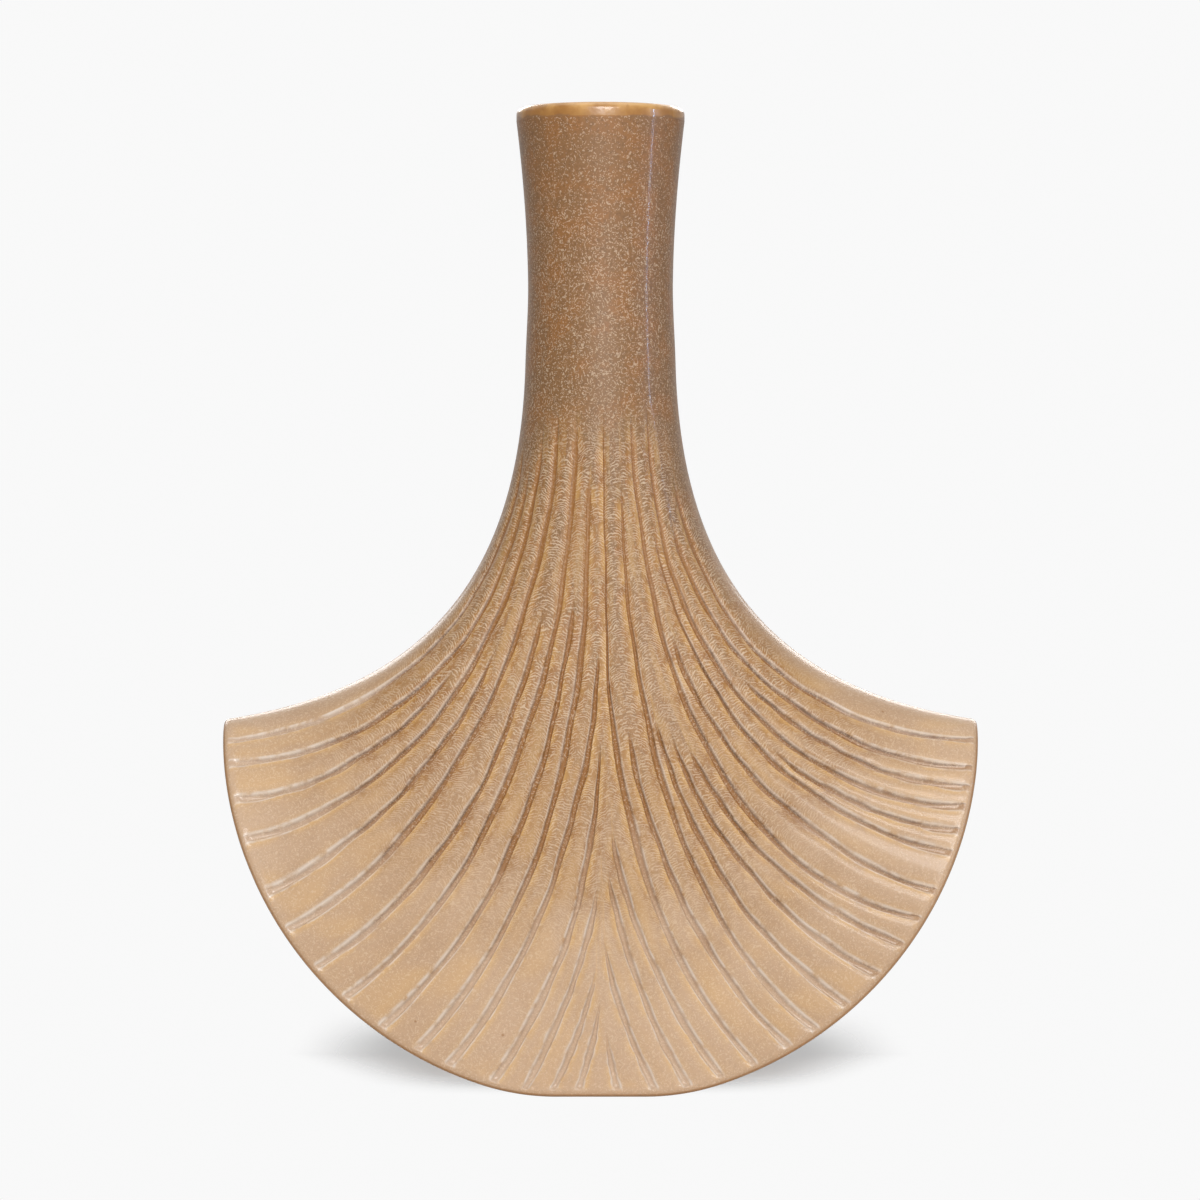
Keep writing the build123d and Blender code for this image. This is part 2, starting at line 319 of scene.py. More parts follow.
def face(fan, down, across, inset=0.0):
    """Points of the front face: share down the outline, angle across it, depth under the surface."""
    wide, high, lean = outline(fan, down)
    bend = bend_of(fan, lean)
    sunk = (fan.height - high + wide * np.tan(bend / 2)) / fan.height
    depth = fan.joint_radius + (fan.foot_depth / 2 - fan.joint_radius) * sunk - inset
    wide = wide - inset * np.cos(lean)
    high = high - inset * np.sin(lean)
    side = np.sin(across)
    radius = wide / np.sin(bend)
    return np.stack(
        (
            radius * np.sin(bend * side),
            -depth * np.cos(across) * (1 + fan.fullness * down * side**2),
            high - radius * (np.cos(bend * side) - np.cos(bend)),
        ),
        -1,
    )


def row_way(fan, down, across):
    """How a point of the face moves with its angle across."""
    ahead, behind = face(fan, down, across + NUDGE), face(fan, down, across - NUDGE)
    return (ahead - behind) / (2 * NUDGE)


def lower_edge(fan, x):
    """Height of the lower edge in the front view, and the way it faces."""
    tip = fan.radius - fan.foot_cut
    blend = fan.foot_blend
    flat = sqrt((fan.radius - blend) ** 2 - (tip - blend) ** 2)
    round_from = flat * fan.radius / (fan.radius - blend)
    reach = np.abs(x)
    arc = tip - np.sqrt(np.maximum(fan.radius**2 - x**2, 0))
    ease = blend - np.sqrt(np.maximum(blend**2 - np.clip(reach - flat, 0, blend) ** 2, 0))
    eased = reach < round_from
    height = np.where(eased, ease, arc)
    facing = np.stack(
        (
            np.where(eased, np.sign(x) * np.clip(reach - flat, 0, blend) / blend, x / fan.radius),
            np.zeros_like(x),
            np.where(eased, (ease - blend) / blend, (arc - tip) / fan.radius),
        ),
        -1,
    )
    return height, unit(facing)


def solve_down(low, high, above):
    """The share down between two limits at which points stop being above a line."""
    for _ in range(40):
        down = (low + high) / 2
        still = above(down)
        low = np.where(still, down, low)
        high = np.where(still, high, down)
    return (low + high) / 2


def collar_place(fan, across):
    """Share down at which the face meets the level top of the fan."""
    limit = np.full(across.shape, 0.03)
    return solve_down(-limit, limit, lambda down: face(fan, down, across)[..., 2] > fan.height)


def edge_rounding(fan, across):
    """The rounding along the lower edge: share down where it begins, its centre and its two facings."""
    limit = np.ones(across.shape)

    def above(down):
        point = face(fan, down, across)
        return point[..., 2] > lower_edge(fan, point[..., 0])[0]

    down = solve_down(0.9 * limit, limit, above)
    edge = face(fan, down, across)
    ahead = (edge - face(fan, down - NUDGE, across)) / NUDGE
    skin = unit(np.cross(ahead, row_way(fan, down, across)))
    below = lower_edge(fan, edge[..., 0])[1]
    meet = np.sum(skin * below, -1)
    centre = edge - fan.edge_radius * (skin + below) / (1 + meet)[..., None]
    back = fan.edge_radius * np.sqrt((1 - meet) / (1 + meet))
    return down - back / np.linalg.norm(ahead, axis=-1), down, centre, skin, below


def under_strip(fan, centre, skin, below, reach):
    """Points on the underside of the lower edge, a reach behind its rounding but not past the middle."""
    onward = unit(np.sum(skin * below, -1, keepdims=True) * below - skin)
    strip = centre + fan.edge_radius * below + reach * onward
    strip[:, 1] = np.minimum(strip[:, 1], 0)
    return strip


# Flutes


def flute_angle(shares, down):
    """Angle across the face of a flute's middle line at shares down the face, on the right-hand side."""
    end_side, start_down, start_side, lateness = shares
    part = np.maximum(down - start_down, 0) / (1 - start_down)
    return np.arcsin(start_side + (end_side - start_side) * part**lateness)


def flute_end(fan, flute, shares):
    """Share down the face at which a flute stops short of the lower edge and of the foot."""
    plain = flute.stop + flute.width / 2

    def above(down):
        x, _, z = face(fan, down, flute_angle(shares, down))
        from_edge = fan.radius - np.hypot(x, z - fan.radius + fan.foot_cut)
        return np.minimum(from_edge, z) > plain

    return solve_down(np.array(shares[1]), np.array(1.0), above)


def waves(shapes, along, phase):
    """A sum of waves along a flute."""
    return sum(size * np.sin(beat * along + turn * phase) for size, beat, turn in shapes)


def flute_lines(fan, flute):
    """Every flute from left to right: shares along it, shares down the face and angles across it."""
    along = np.linspace(0, 1, 72)
    lines = []
    for sign, flutes in ((-1, LEFT_FLUTES), (1, RIGHT_FLUTES)):
        for number, shares in enumerate(flutes):
            span = flute_end(fan, flute, shares) - shares[1]
            down = shares[1] + span * along
            across = flute_angle(shares, down)
            stray = waves(COURSE_WAVES, along, 2.4 * number + sign)
            stray *= flute.wander * min(1, 2 * span) * np.sqrt(np.sin(pi * along))
            across += stray / np.linalg.norm(row_way(fan, down, across), axis=1)
            lines.append((along, down, sign * across))
    return sorted(lines, key=lambda line: line[2][-1])


def row_places(fan, flute):
    """Shares down the face of the mesh rows, closer together where the flutes end."""
    fine = np.linspace(0, 1, 600)
    line = face(fan, fine, np.full(fine.shape, 0.75))
    run = np.concatenate(([0], np.cumsum(np.linalg.norm(np.diff(line, axis=0), axis=1))))
    last = run[-1]
    wide_rows = np.arange(0, last - END_ZONE, flute.row_step)
    close_rows = np.arange(last - END_ZONE, last, flute.row_step / 2)
    return np.interp(np.concatenate((wide_rows, close_rows, [last])), run, fine)


def smooth(value, start=0.0, end=1.0):
    """0 before start, 1 after end, and smooth between."""
    value = np.clip((value - start) / (end - start), 0, 1)
    return value * value * (3 - 2 * value)


def flute_tracks(fan, flute, rows, ease):
    """For each flute and row: angle across, half width as an angle, length of an angle square to it, and how
    far it is there, rounded at its toe, sunk and tinted."""
    lines = flute_lines(fan, flute)
    count = len(lines)
    tracks, halves, spans, there, toe, sunk, tint = np.zeros((7, count, len(rows)))
    placed = []
    for number in sorted(range(count), key=lambda n: lines[n][1][0]):
        shares, down, across = lines[number]
        begin = edge_rounding(fan, across[-1:])[0][0]
        places = rows + ease * (begin - 1)
        left = max((n for n in placed if n < number), default=None)
        right = min((n for n in placed if n > number), default=None)
        low = np.full(len(rows), -pi / 2) if left is None else tracks[left]
        high = np.full(len(rows), pi / 2) if right is None else tracks[right]
        first = np.searchsorted(places, down[0])
        between = (across[0] - low[first]) / (high[first] - low[first])
        unborn = low + between * (high - low)
        tracks[number] = np.where(places < down[0], unborn, np.interp(places, down, across))
        pace = (shares[-1] - shares[-4]) / (down[-1] - down[-4])
        share_along = np.interp(places, down, shares) + np.maximum(places - down[-1], 0) * pace
        share_along -= np.maximum(down[0] - places, 0)
        line = face(fan, down, across)
        reach = np.sum(np.linalg.norm(np.diff(line, axis=0), axis=1))
        width = flute.width * (flute.upper_share + (1 - flute.upper_share) * share_along)
        width = width * (1 + waves(WIDTH_WAVES, share_along, number))
        left_over = ((1 - share_along) * reach + flute.width / 2) / (flute.width / 2)
        toe[number] = np.sqrt(np.clip(1 - (1 - np.clip(left_over, 0, 1)) ** 2, 0, 1))
        point = flute.point * (1 + smooth(1 - down[0] / HIGH_START))
        begun = smooth(share_along * reach / point)
        there[number] = begun * smooth(left_over / TOE_EASE)
        run_out = smooth((1 - share_along) * reach / flute.run_out)
        sunk[number] = there[number] * (END_DEPTH + (1 - END_DEPTH) * run_out)
        sunk[number] *= flute.upper_depth + (1 - flute.upper_depth) * smooth(places, *DEEPENING)
        tint[number] = begun * smooth(left_over + TOE_TINT * abs(across[-1]))
        aside = row_way(fan, places, tracks[number])
        ahead = np.gradient(face(fan, places, tracks[number]), axis=0)
        row_size = np.linalg.norm(aside, axis=1)
        slant = np.linalg.norm(np.cross(aside, ahead), axis=1) / (row_size * np.linalg.norm(ahead, axis=1))
        half = np.maximum(width * np.clip(share_along * reach / point, 0, 1) ** TAPER, LEAST_WIDTH) / 2
        spans[number] = row_size * np.maximum(slant, LEAST_SLANT)
        halves[number] = half / spans[number]
        placed.append(number)
    seam = np.full((1, len(rows)), pi / 2)
    gaps = np.diff(np.concatenate((-seam, tracks, seam)), axis=0)
    halves = np.minimum(halves, WIDEST * np.minimum(gaps[:-1], gaps[1:]))
    return tracks, halves, spans, there, toe, sunk, tint


def fluted_columns(fan, flute, rows, ease):
    """Columns of the fluted face from seam to seam, row by row: angle across, depth cut, and masks of the
    glaze and of painted shade and highlights.
    """
    tracks, halves, spans, there, toe, sunk, tint = flute_tracks(fan, flute, rows, ease)
    seam = np.full((1, len(rows)), pi / 2)
    lows = np.concatenate((-seam, tracks + halves))
    highs = np.concatenate((tracks - halves, seam))
    across = []
    for number, (low, high) in enumerate(zip(lows, highs)):
        places = RIB_COLUMNS
        if number == 0:
            places = SEAM_COLUMNS
        if number == len(tracks):
            places = [1 - place for place in reversed(SEAM_COLUMNS)]
        across += [low + (high - low) * place for place in places]
        if number < len(tracks):
            across += [tracks[number] + halves[number] * place for place in FLUTE_COLUMNS]
    across = np.stack(across, 1)
    cut, arch, pool, ochre, shade, pale, crack, rib = np.zeros((8, *across.shape))
    crown = flute.upper_crown + (flute.lower_crown - flute.upper_crown) * smooth(rows / 0.75)
    low = smooth(rows, 0.76, 0.92)[:, None]
    for values in zip(tracks, halves, spans, there, toe, sunk, tint):
        track, half, span, here, end, deep, stain = (value[:, None] for value in values)
        offset = (across - track) / half
        outward = offset * np.sign(track[-1])
        inner = np.where(outward < 0, 1.0, 0.3)
        far = np.maximum(np.abs(across - track) - half, 0) * span
        fall = here * np.clip(1 - far / flute.rounding, 0, 1) ** 2
        hollow = np.clip(1 - (np.abs(offset) / np.maximum(end, 1e-3)) ** 3, 0, 1)
        beside = np.exp(-((far / OCHRE_REACH) ** 2))
        wall = np.clip(2.5 * np.abs(offset) - 1.5, 0, 1)
        outer_highlight, inner_highlight = (np.exp(-(((outward - side) / HIGHLIGHT_BREADTH) ** 2)) for side in (1, -1))
        cut += crown[:, None] * fall + deep * flute.depth * hollow
        arch += here * np.clip(1 - far / ARC_REACH, 0, 1) ** 2
        for mask, value in (
            # shade: rust and brown beside a flute, partly glaze colour and partly painted shade in the valley
            (shade, stain * np.exp(-((far / np.where(outward < 0, *RUST_AND_SHADE_REACH)) ** 2))),
            (pool, stain * np.clip(1.3 * (1 - np.abs(offset) ** 3), 0, 1)),
            (ochre, stain * inner * wall * beside),
            # pale: thin grey lines of painted highlight along a flute's edges, the outer edge always and the
            # inner one low on the fan
            (pale, stain * (outer_highlight + low * inner_highlight)),
            # crack: a dark line of painted shadow along a flute's upper wall
            (crack, stain * np.clip(1 - np.abs(outward - CRACK_SHADOW_PLACE) / CRACK_SHADOW_BREADTH, 0, 1)),
            (rib, here * np.exp(-((far / RIB_REACH) ** 2))),
        ):
            np.maximum(mask, value, out=mask)
    masks = dict(arch=arch, pool=pool, ochre=ochre, shade=shade, pale=pale, crack=crack, rib=rib)
    return across, cut, masks


def shell_rows(fan, flute, collar_radius, collar_height):
    """Points of a closed shell and its masks of glaze, painted shade and highlights, row by row: down the
    face, round the edge and up inside.
    """
    rows = row_places(fan, flute)
    ease = smooth(rows, 0.75, 1.0)
    across, cut, face_masks = fluted_columns(fan, flute, rows, ease)
    top = collar_place(fan, across[0])
    begin, edge, centre, skin, below = edge_rounding(fan, across[-1])
    settle = smooth(1 - rows / 0.06)
    down = rows[:, None] + settle[:, None] * top + ease[:, None] * (begin - 1)
    points = [*face(fan, down, across, cut)]
    outer = smooth(np.abs(np.sin(across)), 0.88, 0.98)
    face_masks |= {"down": down * (1 + 0.3 * outer), "edge": np.zeros(down.shape)}
    masks = {key: [*values] for key, values in face_masks.items()}
    last = {key: masks[key][-1] * (key in ("down", "rib")) for key in masks}

    def add_row(row, **changed):
        points.append(row)
        for key in masks:
            masks[key].append(changed.get(key, last[key]))

    ones = np.ones(across.shape[1])
    turn = np.arccos(np.clip(np.sum(skin * below, -1), -1, 1))[:, None]
    for step in np.linspace(0, 1, 7)[1:]:
        facing = (np.sin((1 - step) * turn) * skin + np.sin(step * turn) * below) / np.sin(turn)
        add_row(centre + fan.edge_radius * facing, edge=smooth(step, 0.1, 0.5) * ones)
    add_row(under_strip(fan, centre, skin, below, fan.cover - fan.edge_radius), edge=0.4 * ones)
    step = 0.01
    pace = np.linalg.norm(face(fan, edge, across[-1]) - face(fan, edge - step, across[-1]), axis=1) / step
    add_row(face(fan, edge - (fan.slab + REBATE_GAP) / pace, across[-1], fan.cover))
    for place in INSIDE_ROWS:
        row = np.searchsorted(rows, place)
        add_row(face(fan, np.full(across.shape[1], rows[row]), across[row], fan.wall))
    collar = collar_radius * np.stack((np.sin(across[0]), -np.cos(across[0]), 0 * ones), -1)
    add_row(collar + np.array((0, 0, collar_height)))
    add_row(collar + np.array((0, 0, fan.height)))
    return np.stack(points), {key: np.stack(value) for key, value in masks.items()}


# Making pieces


def piece_from_mesh(name, mesh, material, nodes):
    """An object at the origin that rides on the vase and stands for its CAD nodes."""
    piece = bpy.data.objects.new(name, mesh)
    bpy.context.scene.collection.objects.link(piece)
    return finish_piece(piece, material, nodes)


def finish_piece(piece, material, nodes):
    """Smooths a piece, gives it its glaze and puts it in the frame."""
    bpy.ops.object.select_all(action="DESELECT")
    piece.select_set(True)
    bpy.context.view_layer.objects.active = piece
    bpy.ops.object.shade_smooth_by_angle(angle=radians(50))
    piece.data.materials.clear()
    piece.data.materials.append(material)
    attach(piece, "root")
    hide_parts(*nodes)
    return piece


def shell_mesh(name, points, masks):
    """A closed mesh from rows of points: each column is a loop, and the two seams are capped."""
    rows, columns = points.shape[:2]
    index = np.arange(rows * columns).reshape(rows, columns)
    under = np.roll(index, -1, axis=0)
    quads = np.stack((index[:, :-1], under[:, :-1], under[:, 1:], index[:, 1:]), -1).reshape(-1, 4)
    faces = quads.tolist() + [index[::-1, 0].tolist(), index[:, -1].tolist()]
    mesh = bpy.data.meshes.new(name)
    mesh.from_pydata(points.reshape(-1, 3).tolist(), [], faces)
    steps = np.linalg.norm(np.diff(points, axis=0, prepend=points[:1]), axis=2)
    strip = np.tile(np.arange(columns) / (len(FLUTE_COLUMNS) + len(RIB_COLUMNS)), (rows, 1))
    for key, values in {**masks, "run": np.cumsum(steps, axis=0), "strip": strip}.items():
        stored = mesh.attributes.new(key, "FLOAT", "POINT")
        stored.data.foreach_set("value", values.astype(np.float32).ravel())
    mesh.validate()
    return mesh


def lathe(name, profile, sides):
    """A ring drawn up step by step along a profile of radius and height, then closed on itself."""
    bpy.ops.object.select_all(action="DESELECT")
    radius, height = profile[0]
    bpy.ops.mesh.primitive_circle_add(vertices=sides, radius=radius, location=(0, 0, height))
    piece = bpy.context.object
    piece.name = piece.data.name = name
    bpy.ops.object.transform_apply(location=True, rotation=True, scale=True)
    bpy.ops.object.mode_set(mode="EDIT")
    bpy.ops.mesh.select_all(action="SELECT")
    for next_radius, next_height in profile[1:]:
        bpy.ops.mesh.extrude_edges_move(TRANSFORM_OT_translate={"value": (0, 0, next_height - height)})
        grow = next_radius / radius
        bpy.ops.transform.resize(value=(grow, grow, 1), center_override=(0, 0, next_height))
        radius, height = next_radius, next_height
    bpy.ops.mesh.select_all(action="DESELECT")
    bpy.ops.mesh.select_mode(type="EDGE")
    bpy.ops.mesh.select_non_manifold()
    bpy.ops.mesh.bridge_edge_loops()
    bpy.ops.mesh.select_all(action="SELECT")
    bpy.ops.mesh.normals_make_consistent(inside=False)
    bpy.ops.object.mode_set(mode="OBJECT")
    return piece


def curve_points(start, start_way, end, end_way, count):
    """Points of a smooth curve between two places of a profile, with its first point left out."""
    start, end = np.array(start), np.array(end)
    pull = np.linalg.norm(end - start) / 3
    points = np.array((start, start + pull * np.array(start_way), end - pull * np.array(end_way), end))
    return [tuple(place) for place in bezier(points, np.linspace(0, 1, count + 1)[1:])[0]]


# Glazes


def add_node(tree, kind, inputs=None, **settings):
    """A node with its settings, and its inputs linked or set."""
    made = tree.nodes.new(kind)
    for key, value in settings.items():
        setattr(made, key, value)
    for key, value in (inputs or {}).items():
        if isinstance(value, Field):
            value = value.socket
        if isinstance(value, bpy.types.NodeSocket):
            tree.links.new(value, made.inputs[key])
        else:
            made.inputs[key].default_value = value
    return made


class Field:
    """A value in a shader tree; arithmetic with it adds the nodes that work it out."""

    def __init__(self, tree, socket):
        self.tree = tree
        self.socket = socket

    def worked(self, operation, first, second=0.0):
        made = add_node(self.tree, "ShaderNodeMath", {0: first, 1: second}, operation=operation)
        return Field(self.tree, made.outputs[0])

    def __add__(self, other):
        return self.worked("ADD", self, other)

    def __sub__(self, other):
        return self.worked("SUBTRACT", self, other)

    def __rsub__(self, other):
        return self.worked("SUBTRACT", other, self)

    def __mul__(self, other):
        return self.worked("MULTIPLY", self, other)

    def __abs__(self):
        return self.worked("ABSOLUTE", self)

    __radd__ = __add__
    __rmul__ = __mul__

    def sine(self):
        return self.worked("SINE", self)

    def most(self, other):
        return self.worked("MAXIMUM", self, other)

    def least(self, other):
        return self.worked("MINIMUM", self, other)

    def below(self, other):
        return self.worked("LESS_THAN", self, other)

    def fade(self, start, end):
        """0 before start, 1 after end, and smooth between."""
        inputs = {"Value": self, "From Min": start, "From Max": end}
        made = add_node(self.tree, "ShaderNodeMapRange", inputs, interpolation_type="SMOOTHSTEP")
        return Field(self.tree, made.outputs[0])

    def into(self, socket):
        self.tree.links.new(self.socket, socket)


def coat(tree, amount, under, over):
    """One colour laid over another by an amount."""
    under, over = (c if isinstance(c, bpy.types.NodeSocket) else (*c, 1) for c in (under, over))
    return add_node(tree, "ShaderNodeMix", {0: amount, 6: under, 7: over}, data_type="RGBA").outputs[2]


def cloud(tree, place, scale, detail=2.0, roughness=0.5, distortion=0.0):
    """Soft noise at a scale."""
    inputs = {"Vector": place, "Scale": scale, "Detail": detail}
    inputs |= {"Roughness": roughness, "Distortion": distortion}
    return Field(tree, add_node(tree, "ShaderNodeTexNoise", inputs).outputs[0])


def cells(tree, place, scale, channel):
    """Distance from the middle of random cells, and a random value of each cell."""
    made = add_node(tree, "ShaderNodeTexVoronoi", {"Vector": place, "Scale": scale}).outputs
    picks = add_node(tree, "ShaderNodeSeparateColor", {0: made["Color"]}).outputs
    return Field(tree, made["Distance"]), Field(tree, picks[channel])


def attribute(tree, name):
    """A mask or measure stored on the mesh, 0 where a mesh has none."""
    return Field(tree, add_node(tree, "ShaderNodeAttribute", attribute_name=name).outputs["Fac"])


def object_place(tree):
    return add_node(tree, "ShaderNodeTexCoord").outputs["Object"]


def parts(tree, vector):
    """The three coordinates of a vector."""
    return [Field(tree, part) for part in add_node(tree, "ShaderNodeSeparateXYZ", {0: vector}).outputs]


def bumped(relief, shader, strength, distance):
    """Gives a shader the normals of a relief."""
    inputs = {"Strength": strength, "Distance": distance, "Height": relief}
    made = add_node(relief.tree, "ShaderNodeBump", inputs)
    relief.tree.links.new(made.outputs[0], shader.inputs["Normal"])


def glaze_group(name, values, outputs):
    """An empty shader group with a place and named values, and its two ends."""
    tree = bpy.data.node_groups.new(name, "ShaderNodeTree")
    tree.interface.new_socket(name="Place", in_out="INPUT", socket_type="NodeSocketVector")
    for title, value in values.items():
        socket = tree.interface.new_socket(name=title, in_out="INPUT", socket_type="NodeSocketFloat")
        socket.default_value = value
    for title in outputs:
        tree.interface.new_socket(name=title, in_out="OUTPUT", socket_type="NodeSocketFloat")
    given = tree.nodes.new("NodeGroupInput").outputs
    fields = [Field(tree, given[title]) for title in values]
    return tree, tree.nodes.new("NodeGroupOutput").inputs, given["Place"], *fields


def crystal_group():
    """Fine pale curls and dots that grow in the glaze."""
    values = {"Scale": 300.0, "Cover": 0.5}
    tree, out, place, scale, cover = glaze_group("Glaze Crystals", values, ("Mask",))
    curl = (40.0 * cloud(tree, place, scale, 1.5, 0.5, 0.3)).sine().fade(0.35, 0.85)
    broken = cloud(tree, place, 2.8 * scale, 1.0)
    kept = (broken - (0.88 - 0.45 * cover)).fade(0.0, 0.08)
    noise = add_node(tree, "ShaderNodeTexNoise", {"Vector": place, "Scale": 1.6 * scale, "Detail": 1.0})
    inputs = {0: noise.outputs["Color"], "Scale": 1.2 * MM}
    nudge = add_node(tree, "ShaderNodeVectorMath", inputs, operation="SCALE").outputs[0]
    strewn = add_node(tree, "ShaderNodeVectorMath", {0: place, 1: nudge}, operation="ADD").outputs[0]
    far, pick = cells(tree, strewn, 3.2 * scale, 0)
    dots = far.fade(0.34, 0.2) * (pick + 0.6 * cover).fade(0.9, 1.0)
    (curl * kept).most(dots).into(out["Mask"])
    return tree


def mottle_group():
    """Slow unevenness of a fired glaze, and fine grain in it."""
    tree, out, place, scale = glaze_group("Glaze Mottle", {"Scale": 40.0}, ("Slow", "Grain"))
    cloud(tree, place, scale, 4.0, 0.6).fade(0.3, 0.7).into(out["Slow"])
    cloud(tree, place, 27.0 * scale, 2.0, 0.6).into(out["Grain"])
    return tree


def pinhole_group():
    """Sparse small pits and iron spots."""
    values = {"Scale": 170.0, "Share": 0.06}
    tree, out, place, scale, chosen = glaze_group("Glaze Pinholes", values, ("Mask",))
    far, pick = cells(tree, place, scale, 1)
    (far.fade(0.11, 0.05) * pick.below(chosen)).into(out["Mask"])
    return tree


def amber_group():
    """Where the amber of the lip runs down over the top of the neck, further at front and back."""
    tree, out, place, line = glaze_group("Amber Band", {"Line": 325 * MM}, ("Mask", "Brim"))
    _, back, high = parts(tree, place)
    ripple = 3.5 * MM * (cloud(tree, place, 110.0, 3.0) - 0.5)
    level = high + 0.045 * abs(back) + ripple - line
    level.fade(-0.4 * MM, 0.5 * MM).into(out["Mask"])
    level.fade(2.2 * MM, 0.4 * MM).into(out["Brim"])
    return tree


def use(tree, group, **inputs):
    """The outputs of a placed group with its own values."""
    made = add_node(tree, "ShaderNodeGroup", inputs, node_tree=group)
    return {output.name: Field(tree, output) for output in made.outputs}


def new_material(name):
    """An empty material with its Principled BSDF."""
    material = bpy.data.materials.new(name)
    material.use_nodes = True
    tree = material.node_tree
    return material, tree, tree.nodes["Principled BSDF"]


class BodySkin:
    """What the body's glaze is placed by; down is 0 at the neck joint and 1 at the lower edge."""

    def __init__(self, tree, groups):
        self.tree = tree
        self.place = object_place(tree)
        self.right, _, self.high = parts(tree, self.place)
        self.aside = abs(self.right)
        for key in ("arch", "pool", "ochre", "shade", "pale", "crack", "down", "rib", "edge", "run", "strip"):
            setattr(self, key, attribute(tree, key))
        mottle = use(tree, groups["mottle"], Place=self.place, Scale=MOTTLE_SCALE)
        self.grain = mottle["Grain"]
        self.uneven = mottle["Slow"] - 0.5
        self.upper = self.down.fade(0.85, 0.45)
        self.frayed = 1.6 * (self.cloud(FRAY_SCALE, 2.0, 0.6) - 0.5)
        self.patch = self.rib_cloud(3.1).fade(0.36, 0.6)
        self.gold = self.rib_cloud(1.0).fade(0.48, 0.64) * self.rib * (1 - 0.7 * self.shade)
        held = self.right.fade(65 * MM, 100 * MM)
        centre = 0.09 * self.aside.fade(50 * MM, 0.0)
        lower = (self.down + centre + 0.06 * self.uneven).fade(0.76, 0.93)
        self.lower = lower * (1 - 0.6 * held)

    def cloud(self, *shape):
        return cloud(self.tree, self.place, *shape)

    def rib_cloud(self, scale):
        """Noise drawn out along the ribs."""
        inputs = {0: self.strip, 1: RIB_STRETCH * self.run}
        return cloud(self.tree, add_node(self.tree, "ShaderNodeCombineXYZ", inputs).outputs[0], scale)

    def coat(self, amount, under, over):
        return coat(self.tree, amount, under, over)


def ground_layer(skin, glaze):
    """Glaze paler down the fan and darker up the neck, made uneven, clouded and specked."""
    flank = skin.aside.fade(30 * MM, 70 * MM) * skin.aside.fade(118 * MM, 100 * MM)
    level = skin.down + 0.12 * skin.uneven
    colour = skin.coat(level.fade(0.1, 0.75), glaze.shoulder, glaze.belly)
    colour = skin.coat(level.fade(0.66, 0.96), colour, glaze.foot)
    colour = skin.coat(0.3 * flank, colour, glaze.belly)
    rise = skin.high + 20 * MM * skin.uneven
    colour = skin.coat(rise.fade(215 * MM, 275 * MM), colour, glaze.neck)
    warm = skin.cloud(CLOUD_SCALE, 3.0, 0.6).fade(0.42, 0.66) * skin.upper
    colour = skin.coat(warm * (0.4 - 0.25 * skin.rib), colour, glaze.rust_and_valley_shade)
    specks = skin.grain.fade(0.45, 0.7) * (0.1 + 0.25 * skin.upper)
    return skin.coat(specks, colour, glaze.umber_and_crack_shadow)


def edge_layer(skin, glaze, colour):
    """Rust and painted shade beside the upper flutes, brown and painted shade beside the middle ones, ochre
    on the ribs and along their sides.
    """
    # Rust and brown beside the flutes: glaze colour with painted shade in the valleys
    valley_rust_and_shade = (skin.shade + skin.frayed).fade(0.35, 0.85)
    colour = skin.coat(0.5 * (valley_rust_and_shade * skin.upper), colour, glaze.rust_and_valley_shade)
    middle = skin.down.fade(0.35, 0.6) * skin.down.fade(0.92, 0.72)
    colour = skin.coat(valley_rust_and_shade * middle * (0.2 + 0.5 * skin.patch), colour, glaze.brown)
    streak = skin.cloud(STREAK_SCALE).fade(0.3, 0.6)
    thin = (skin.ochre * streak).most(0.6 * skin.gold)
    return skin.coat(0.55 * thin, colour, glaze.ochre)


def pool_layer(skin, glaze, colour):
    """Glaze pooled in the flutes, brown above and lilac grey below, with a dark crack of painted shadow along
    a flute's upper wall and thin grey lines of painted highlight.
    """
    pooled = skin.coat(skin.lower, glaze.brown, glaze.lilac)
    thick = skin.cloud(POOL_SCALE).fade(0.25, 0.55)
    full = 0.25 + 0.2 * skin.down.fade(0.25, 0.55)
    ragged = (skin.pool + 0.45 * skin.frayed).fade(0.2, 0.7)
    colour = skin.coat(ragged * (full + 0.35 * thick), colour, pooled)
    # Painted shadow: a dark umber line along a flute's upper wall
    crack_shadow_line = (skin.crack + 0.4 * skin.frayed).fade(0.25, 0.75)
    crack_shadow_strength = 0.4 * skin.patch + 0.35 * skin.down.fade(0.3, 0.5)
    crack_shadow_strength = crack_shadow_strength * (1 - 0.7 * skin.lower) * (0.5 + 0.5 * skin.aside.fade(10 * MM, 45 * MM))
    colour = skin.coat(crack_shadow_line * crack_shadow_strength, colour, glaze.umber_and_crack_shadow)
    # Painted highlights: thin grey lines along a flute's edges
    line = skin.pale * skin.cloud(LINE_SCALE).fade(0.25, 0.6)
    drawn = 0.5 * skin.down.fade(0.3, 0.55) + 0.4 * skin.lower
    return skin.coat(line * drawn, colour, glaze.grey)


def rib_arcs(skin):
    """Rows of small broken arcs across the ribs."""
    stray = 3 * MM * skin.cloud(ARC_STRAY_SCALE, 1.0)
    curl = 1.1 * MM * skin.cloud(ARC_CURL_SCALE, 1.0)
    beat = (skin.run - 3 * MM * skin.arch) + (stray + curl)
    return (ARC_BEAT * beat).sine().fade(0.2, 0.8) * skin.cloud(ARC_BREAK_SCALE, 1.0).fade(0.4, 0.54)


